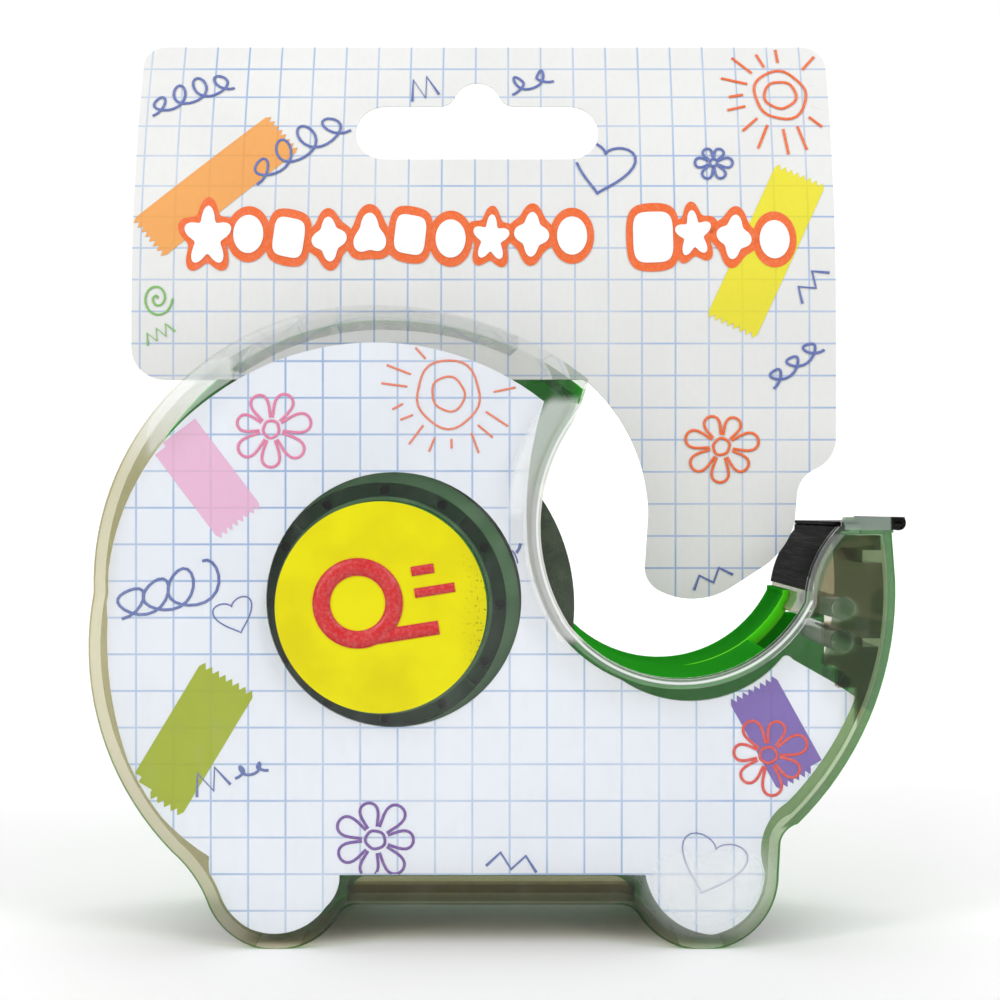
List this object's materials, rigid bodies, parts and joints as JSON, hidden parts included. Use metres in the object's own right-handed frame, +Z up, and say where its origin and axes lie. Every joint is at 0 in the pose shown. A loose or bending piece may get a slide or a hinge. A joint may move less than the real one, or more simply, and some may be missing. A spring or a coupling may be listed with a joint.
{
  "type": "tape dispenser",
  "caption": "Hand-held snail-shaped tape dispenser with a clear front, green back, serrated cutter arm, tape roll on a spindle, and a printed hang card.",
  "frame": {"origin": "centre of the bounding box in plan, on the plane that both feet stand on", "axes": "+Z up, through the hang card; -Y is the clear front; +X points to the cutter arm; the roll turns about Y"},
  "size_m": [0.0972, 0.0234, 0.1135],
  "materials": {
    "clear_plastic": "clear, moulded, glossy",
    "green_plastic": "opaque green, moulded, glossy",
    "card_stock": "coated card with a printed blue grid",
    "blade_steel": "rolled strip steel, stamped teeth",
    "label_paper": "gloss coated self-adhesive paper, printed",
    "core_plastic": "green-grey moulded ring",
    "tape_film": "clear film wound on itself, olive at depth"
  },
  "bodies": {
    "housing": {"front_shell": "clear_plastic", "rear_shell": "green_plastic", "insert_card": "card_stock", "header_card": "card_stock", "cutter_blade": "blade_steel", "hub_label": "label_paper"},
    "spool": {"tape_core": "core_plastic", "tape_roll": "tape_film"}
  },
  "joints": [
    {"name": "roll_spin", "type": "hinge", "parent": "housing", "child": "spool", "pos_m": [-0.0138, 0, 0.0404], "axis": [0, 1, 0], "continuous": true}
  ]
}
